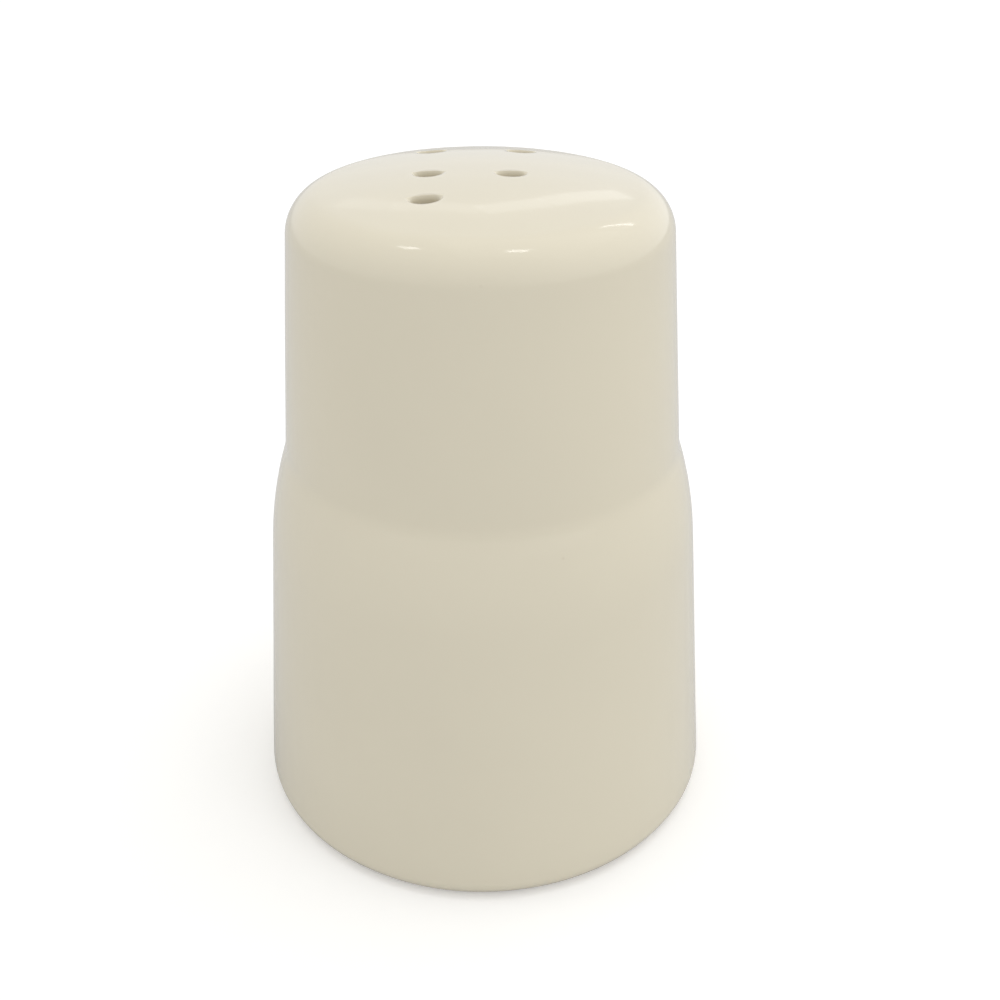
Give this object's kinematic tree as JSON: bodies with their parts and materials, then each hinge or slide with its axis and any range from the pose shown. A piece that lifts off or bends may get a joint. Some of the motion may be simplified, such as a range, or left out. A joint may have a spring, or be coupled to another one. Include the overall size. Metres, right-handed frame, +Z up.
{
  "type": "condiment shaker",
  "caption": "Waisted ceramic table shaker that pours through small holes in its domed crown and is filled through a stoppered hole in its base.",
  "frame": {"origin": "centre of the foot, on the table plane", "axes": "+Z up along the shaker's axis of revolution; the front, from which the pattern of holes reads upright, faces -Y"},
  "size_m": [0.054, 0.054, 0.0732],
  "materials": {
    "glazed_shell": "glossy ivory glaze, bare foot ring",
    "stopper_plastic": "soft milky plastic"
  },
  "bodies": {
    "shaker": {"shaker_body": "glazed_shell"},
    "plug": {"stopper": "stopper_plastic"}
  },
  "joints": [
    {"name": "stopper_pull", "type": "slide", "parent": "shaker", "child": "plug", "axis": [0, 0, -1], "range_m": [0, 0.035]}
  ]
}
